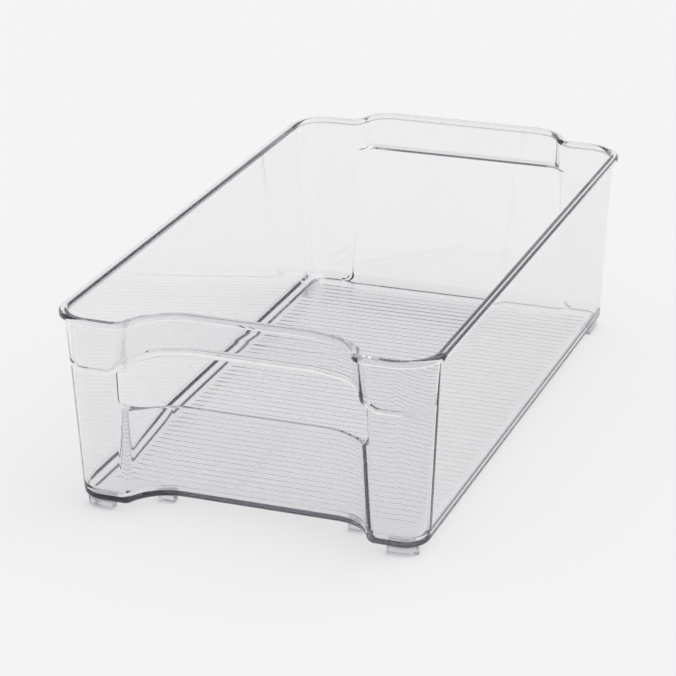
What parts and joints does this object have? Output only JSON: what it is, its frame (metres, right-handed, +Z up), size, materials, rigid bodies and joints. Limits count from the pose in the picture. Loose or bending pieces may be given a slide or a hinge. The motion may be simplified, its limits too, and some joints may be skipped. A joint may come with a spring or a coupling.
{
  "type": "fridge storage bin",
  "caption": "Clear open-topped storage bin for a fridge shelf, with a flanged rim, a grip slot in front, a ribbed floor and small feet.",
  "frame": {"origin": "under the middle of the bin's bounding box, on the surface that it stands on", "axes": "+X to the right along the front, +Y from the slotted front to the rear, +Z up"},
  "size_m": [0.19, 0.336, 0.1029],
  "materials": {
    "clear_body": "clear, colourless, glossy moulded",
    "clear_feet": "clear, colourless, glossy"
  },
  "bodies": {
    "root": {"bin_body": "clear_body", "front_left_foot": "clear_feet", "front_right_foot": "clear_feet", "rear_left_foot": "clear_feet", "rear_right_foot": "clear_feet", "front_left_tab": "clear_feet", "front_right_tab": "clear_feet"}
  },
  "joints": []
}
